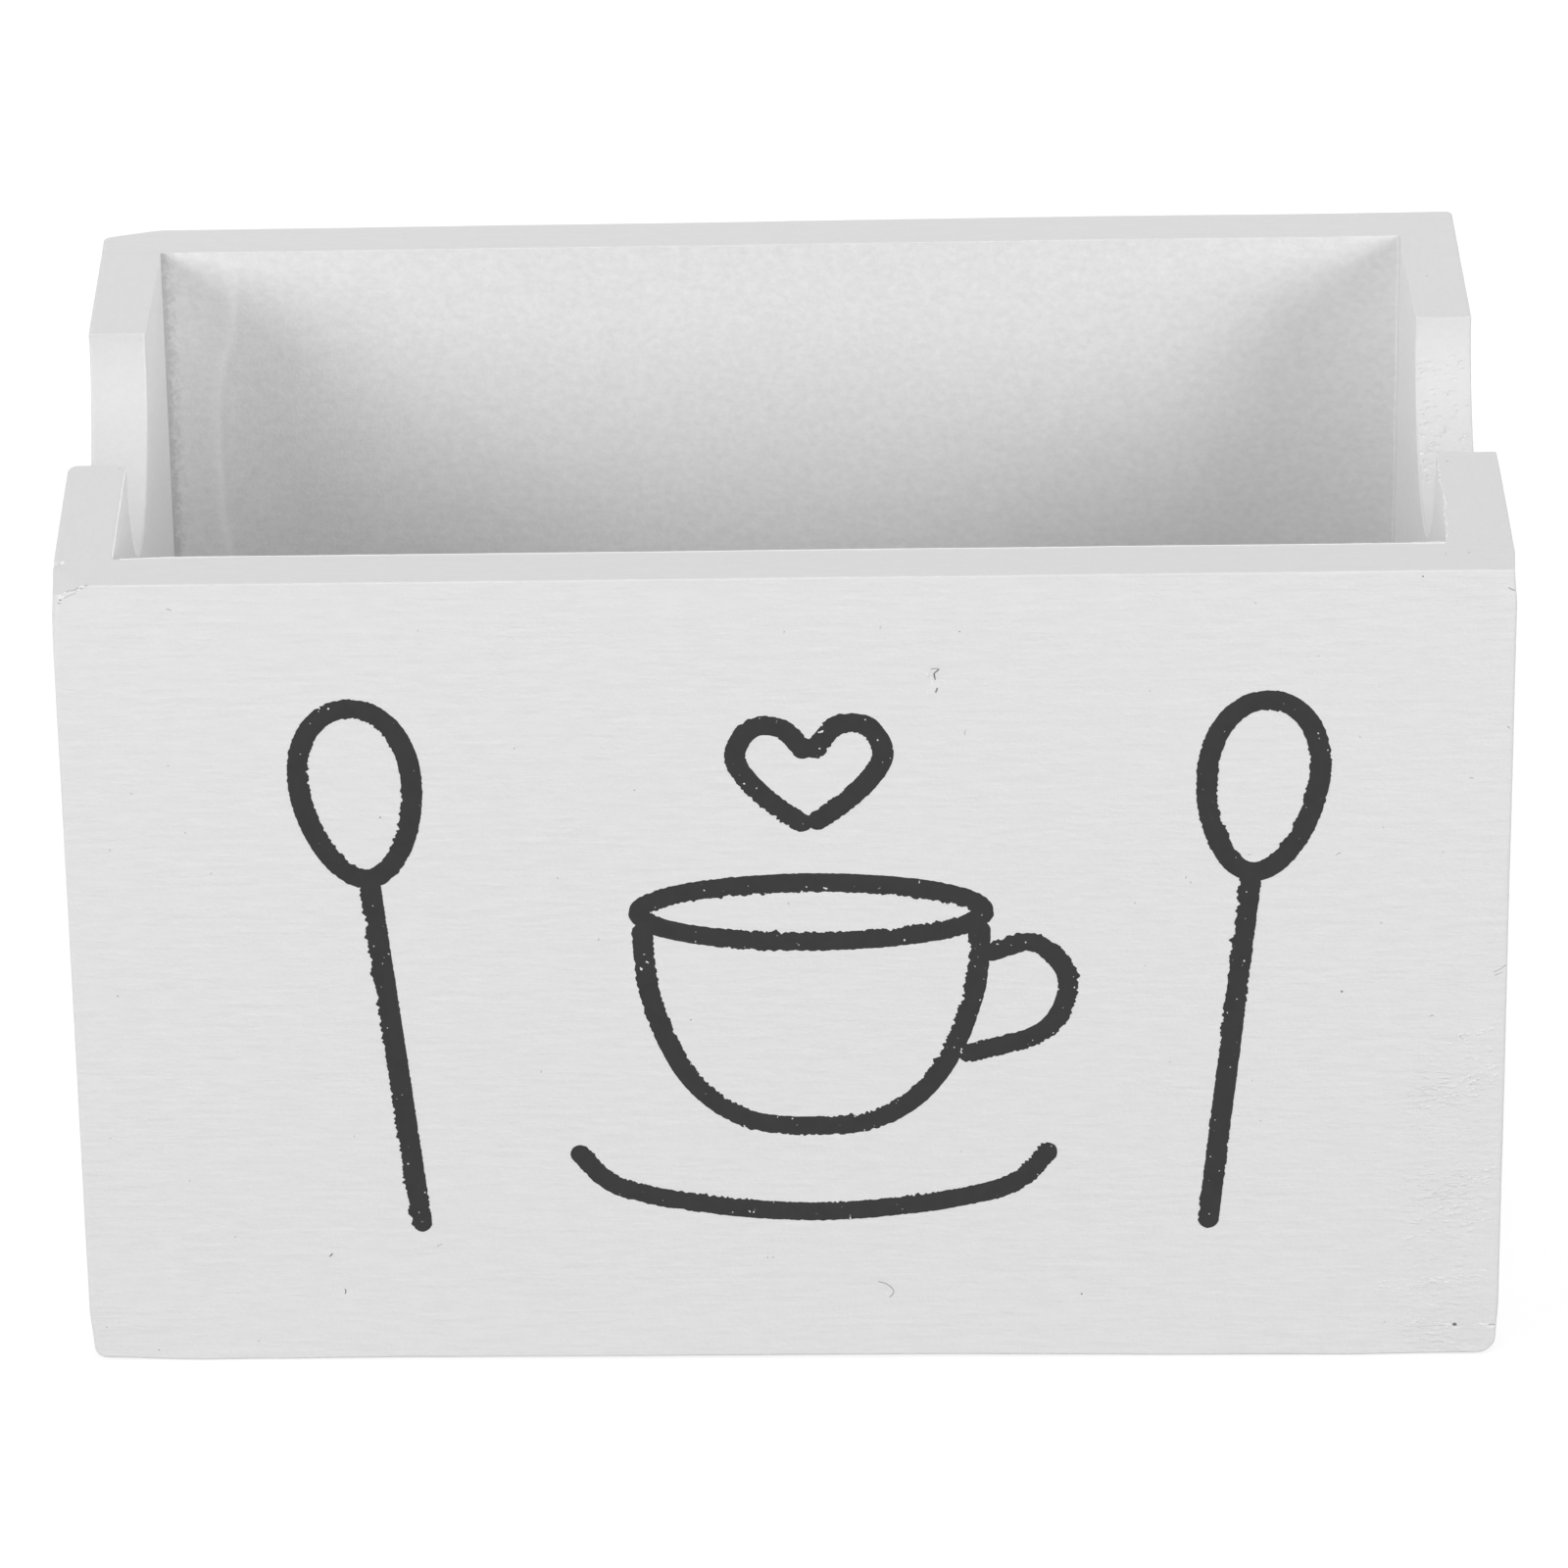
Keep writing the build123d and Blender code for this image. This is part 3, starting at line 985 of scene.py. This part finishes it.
def ramp(tree, value, stops):
    """Greys by value: stops are (position, grey)."""
    stops = list(stops)
    node = add(tree, "ValToRGB", {"Fac": value})
    elements = node.color_ramp.elements
    while len(elements) < len(stops):
        elements.new(1.0)
    for element, (position, shade) in zip(elements, stops):
        element.position = position
        element.color = grey(shade)
    return node.outputs["Color"]


def math_node(tree, operation, first, second):
    return add(tree, "Math", {0: first, 1: second}, operation=operation).outputs[0]


def mark(tree, name):
    """A value that the boards carry at each point."""
    return add(tree, "Attribute", attribute_name=name).outputs["Fac"]


def blended(tree, kind, share, under, over):
    """Two colours mixed in the given way: inputs 6 and 7 of a mix node, and its output 2."""
    inputs = {0: share, 6: under, 7: over}
    return add(tree, "Mix", inputs, data_type="RGBA", blend_type=kind).outputs[2]


def dress(tree, shader, colour, height, deep, patches, roughness):
    """Give a shader its colour, bumps of the given depth, and a roughness that varies by patches."""
    bump = add(tree, "Bump", {"Height": height, "Strength": 1.0, "Distance": deep})
    span = dict(zip(("From Min", "From Max", "To Min", "To Max"), NOISE_RANGE + roughness))
    rough = add(tree, "MapRange", {"Value": patches, **span})
    feed(tree, shader, {"Base Color": colour, "Specular IOR Level": PAINT_SPECULAR})
    feed(tree, shader, {"Roughness": rough.outputs["Result"], "Normal": bump.outputs["Normal"]})


def paint(name, grain_axis, mottle, grain_depth, stipple_depth, white=PAINT, inside=False):
    """White paint over wood: grain along one axis, stipple, mottling, thick, bare and torn places, and
    painted light and shade.
    """
    material, tree, shader, place = new_material(name)
    grain = clouds(tree, stretched(tree, place, grain_axis, GRAIN_DRAWN), *GRAIN_NOISE)
    stipple = clouds(tree, place, *STIPPLE_NOISE)
    patch_noise = INSIDE_PATCHES if inside else OUTSIDE_PATCHES
    drawn = stretched(tree, place, grain_axis, INSIDE_DRAWN if inside else OUTSIDE_DRAWN)
    patches = clouds(tree, drawn, *patch_noise)
    colour = ramp(tree, patches, zip(NOISE_RANGE, (white * (1 - mottle), white * (1 + mottle))))
    height = math_node(tree, "MULTIPLY", grain, grain_depth)
    height = math_node(tree, "ADD", height, math_node(tree, "MULTIPLY", stipple, stipple_depth))
    if inside:
        # lighter where the paint is thick, and painted light on the left board and in the foot of the
        # notches
        colour = blended(tree, "ADD", mark(tree, "coat_and_painted_light"), colour, grey(THICK_COAT_AND_PAINTED_LIGHT))
        # dark speckles by the left inner back corner: bare wood, with painted shade in the crevice
        spots = math_node(tree, "MULTIPLY", mark(tree, "bare_wood_and_shade"), clouds(tree, place, *BARE_NOISE))
        darker = ramp(tree, spots, BARE_RAMP)
        colour = blended(tree, "MULTIPLY", darker, colour, grey(BARE_AND_SHADE_DARK))
    else:
        # painted shade on the break at the front's top left corner
        colour = blended(tree, "MULTIPLY", mark(tree, "bare_wood_and_shade"), colour, grey(BREAK_PAINTED_SHADE))
        flecks = clouds(tree, stretched(tree, place, grain_axis, FLECK_DRAWN), *FLECK_NOISE)
        flecks = ramp(tree, flecks, FLECK_RAMP)
        lifted = math_node(tree, "MULTIPLY", flecks, mark(tree, "torn"))
        height = math_node(tree, "ADD", height, math_node(tree, "MULTIPLY", lifted, TORN_DEPTH))
    dress(tree, shader, colour, height, MM, patches, PAINT_ROUGHNESS)
    return material


def ink_material():
    """Black brush paint with white pinholes where it missed the grain."""
    material, tree, shader, place = new_material("brush_black")
    begin, white = INK_HOLES
    stops = ((0.0, INK), (begin, INK), (white, PAINT))
    colour = ramp(tree, clouds(tree, place, *HOLE_NOISE), stops)
    patches = clouds(tree, place, *INK_NOISE)
    dress(tree, shader, colour, patches, INK_BUMP * MM, patches, INK_ROUGHNESS)
    return material


def mark_material(name, low, high, roughness, metallic=0.0):
    """A plain grey that varies a little from place to place."""
    material, tree, shader, place = new_material(name)
    colour = ramp(tree, clouds(tree, place, *MARK_NOISE), zip(NOISE_RANGE, (low, high)))
    feed(tree, shader, {"Base Color": colour, "Roughness": roughness, "Metallic": metallic})
    return material


# Pieces
SHARP_ANGLE = math.radians(38)
FACE_SLACK = 0.02


def placed(name, data):
    """A new object in the scene."""
    thing = bpy.data.objects.new(name, data)
    bpy.context.scene.collection.objects.link(thing)
    return thing


def mesh_piece(name, points, faces, *materials):
    """A piece of the object from points in millimetres, smooth except at sharp edges."""
    mesh = bpy.data.meshes.new(name)
    mesh.from_pydata((settled(points) * MM).tolist(), [], faces)
    for material in materials:
        mesh.materials.append(material)
    mesh.shade_smooth()
    mesh.set_sharp_from_angle(angle=SHARP_ANGLE)
    piece = placed(name, mesh)
    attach(piece, "root")
    return piece


def board_piece(node, shape, *materials):
    """A painted board that stands for a solid. Its materials: outside, inner face, and notch if any."""
    points, quads = shape
    piece = mesh_piece(node + "_painted", points, quads.tolist(), *materials)
    middles = points[quads].mean(1)
    within = np.abs(middles) < np.array([inner_width, inner_depth, math.inf]) + FACE_SLACK
    inner = within.all(1) & (middles[:, 2] > base_top - FACE_SLACK)
    in_notch = np.hypot(middles[:, 1], middles[:, 2] - top) < NOTCH_RADIUS + FACE_SLACK
    in_notch &= np.abs(middles[:, 0]) > inner_width
    piece.data.polygons.foreach_set("material_index", np.where(in_notch, 2, inner).astype(np.int32))
    for values in (bare_wood_and_shade, coat_and_painted_light, torn):
        attribute = piece.data.attributes.new(values.__name__, "FLOAT", "POINT")
        attribute.data.foreach_set("value", values(points).astype(np.float32))
    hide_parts(node)


across, deep = 0, 1  # axes of the grain
left_notch_shaded_white, right_notch_shaded_white = NOTCH_SHADED_WHITES
paint_across = paint("paint_grain_across", across, *OUTSIDE_PAINT)
paint_deep = paint("paint_grain_deep", deep, *OUTSIDE_PAINT)
inside_across = paint("inside_grain_across", across, *BACK_INSIDE_PAINT, INSIDE_SHADED_WHITE, inside=True)
inside_deep = paint("inside_grain_deep", deep, *SIDE_INSIDE_PAINT, inside=True)
left_notch = paint("left_notch_end_grain_shaded", deep, *NOTCH_PAINT, left_notch_shaded_white, inside=True)
right_notch = paint("right_notch_end_grain_shaded", deep, *NOTCH_PAINT, right_notch_shaded_white, inside=True)
# lighter than the paint elsewhere: painted highlight on beads and flakes
bead_highlight_paint = mark_material("bead_highlight_paint", *BEAD_HIGHLIGHT_WHITES, BEAD_ROUGHNESS)
speck_grey = mark_material("speck_grey", *SPECK_GREY, SPECK_ROUGHNESS)
crack_and_pit_shade = mark_material("crack_and_pit_shade", *CRACK_SHADE_GREY, CRACK_ROUGHNESS)

board_piece("front_board", face_board(-1), paint_across, inside_across)
board_piece("back_board", face_board(1), paint_across, inside_across)
board_piece("left_side_board", side_board(-1), paint_deep, inside_deep, left_notch)
board_piece("right_side_board", side_board(1), paint_deep, inside_deep, right_notch)
board_piece("base_board", base_board(), paint_across, inside_across)
mesh_piece("brushed_motif", *joined(motif()), ink_material())
mesh_piece("paint_beads", *joined(beads()), bead_highlight_paint)
mesh_piece("paint_specks", *joined(specks()), speck_grey)
mesh_piece("paint_cracks", *joined(cracks()), crack_and_pit_shade)
mesh_piece("torn_fibres", *joined(fibres()), paint_across)

steel = mark_material("drawn_wire", *STEEL_GREY, STEEL_ROUGHNESS, metallic=1.0)
for node in ("wall_pins", "base_pins"):
    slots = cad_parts[node].data.materials
    slots.clear()
    slots.append(steel)

# Camera, at the photograph's viewing angle
CAMERA_AIM = Vector((-0.243, 0.0, 38.886)) * MM
CAMERA_DISTANCE = 836.82 * MM
CAMERA_AZIMUTH = -0.372  # degrees, as for the lights below
CAMERA_ELEVATION = 26.683
CAMERA_ROLL = math.radians(-0.037)
CAMERA_LENS = 205.166
SENSOR_WIDTH = 36.0


def direction(azimuth, elevation):
    """The way out from the object at angles in degrees, azimuth 0 in front and positive to the right."""
    turn, rise = math.radians(azimuth), math.radians(elevation)
    return Vector((math.sin(turn) * math.cos(rise), -math.cos(turn) * math.cos(rise), math.sin(rise)))


def add_camera():
    data = bpy.data.cameras.new("camera")
    data.sensor_width = SENSOR_WIDTH
    data.lens = CAMERA_LENS
    camera = placed("camera", data)
    back = direction(CAMERA_AZIMUTH, CAMERA_ELEVATION)
    turn = (-back).to_track_quat("-Z", "Y").to_matrix().to_4x4() @ Matrix.Rotation(CAMERA_ROLL, 4, "Z")
    camera.matrix_world = Matrix.Translation(CAMERA_AIM + back * CAMERA_DISTANCE) @ turn
    bpy.context.scene.camera = camera


# Lights: (name, azimuth from the front, elevation, distance, width and height in metres, watts)
LIGHTS = (
    ("left_softbox", -50.0, 20.0, 1.0, 0.6, 0.45, 4.6),
    ("left_side", -68.0, 24.0, 1.0, 0.6, 0.45, 1.2),
    ("right_softbox", 50.0, 20.0, 1.0, 0.6, 0.45, 4.85),
    ("front_fill", 0.0, 14.0, 1.4, 0.5, 0.5, 0.95),
    ("back_light", 180.0, 30.0, 0.6, 0.6, 0.3, 1.4),
)
AMBIENT = 0.315
FLOOR_HALF = 4.0
FLOOR_PALE = 0.35
FLOOR_GLOW = 0.76  # how much of the floor's white the camera sees whatever shadow falls there
FLOOR_SHADE = 0.34


def add_lights():
    aim = Vector((0, 0, top / 2)) * MM
    for name, azimuth, elevation, distance, wide, high, watts in LIGHTS:
        data = bpy.data.lights.new(name, "AREA")
        data.shape = "RECTANGLE"
        data.size, data.size_y = wide, high
        data.energy = watts
        lamp = placed(name, data)
        back = direction(azimuth, elevation)
        lamp.location = aim + back * distance
        lamp.rotation_euler = (-back).to_track_quat("-Z", "Y").to_euler()


def finish_by_ray(tree, lit, seen, output):
    """End a tree with a shader that lights the scene, and one that the camera, mirrors and glass see."""
    path = add(tree, "LightPath").outputs
    direct = math_node(tree, "MAXIMUM", path["Is Camera Ray"], path["Is Glossy Ray"])
    direct = math_node(tree, "MAXIMUM", direct, path["Is Transmission Ray"])
    mix = add(tree, "MixShader", {0: direct, 1: lit.outputs[0], 2: seen.outputs[0]})
    add(tree, output, {"Surface": mix.outputs[0]})


def add_world():
    world = bpy.data.worlds.new("studio")
    world.use_nodes = True
    bpy.context.scene.world = world
    tree = world.node_tree
    tree.nodes.clear()
    light = add(tree, "Background", {"Color": grey(1.0), "Strength": AMBIENT})
    white = add(tree, "Background", {"Color": grey(1.0), "Strength": 1.0})
    finish_by_ray(tree, light, white, "OutputWorld")


def add_floor():
    mesh = bpy.data.meshes.new("floor")
    corners = [(x * FLOOR_HALF, y * FLOOR_HALF, 0) for x, y in ((-1, -1), (1, -1), (1, 1), (-1, 1))]
    mesh.from_pydata(corners, [], [(0, 1, 2, 3)])
    floor = placed("floor", mesh)
    material = bpy.data.materials.new("pale_floor")
    material.use_nodes = True
    tree = material.node_tree
    tree.nodes.clear()
    pale = add(tree, "BsdfDiffuse", {"Color": grey(FLOOR_PALE)})
    shade = add(tree, "BsdfDiffuse", {"Color": grey(FLOOR_SHADE)})
    glow = add(tree, "Emission", {"Color": grey(1.0), "Strength": FLOOR_GLOW})
    white = add(tree, "AddShader", {0: shade.outputs[0], 1: glow.outputs[0]})
    finish_by_ray(tree, pale, white, "OutputMaterial")
    mesh.materials.append(material)
    floor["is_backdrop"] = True


add_camera()
add_lights()
add_world()
add_floor()
bpy.context.scene.view_settings.view_transform = "Standard"

bpy.context.view_layer.update()
boxes = {"cad": cad_bounds, "visual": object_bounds()}
{name: [[float(value) for value in corner] for corner in box] for name, box in boxes.items()}
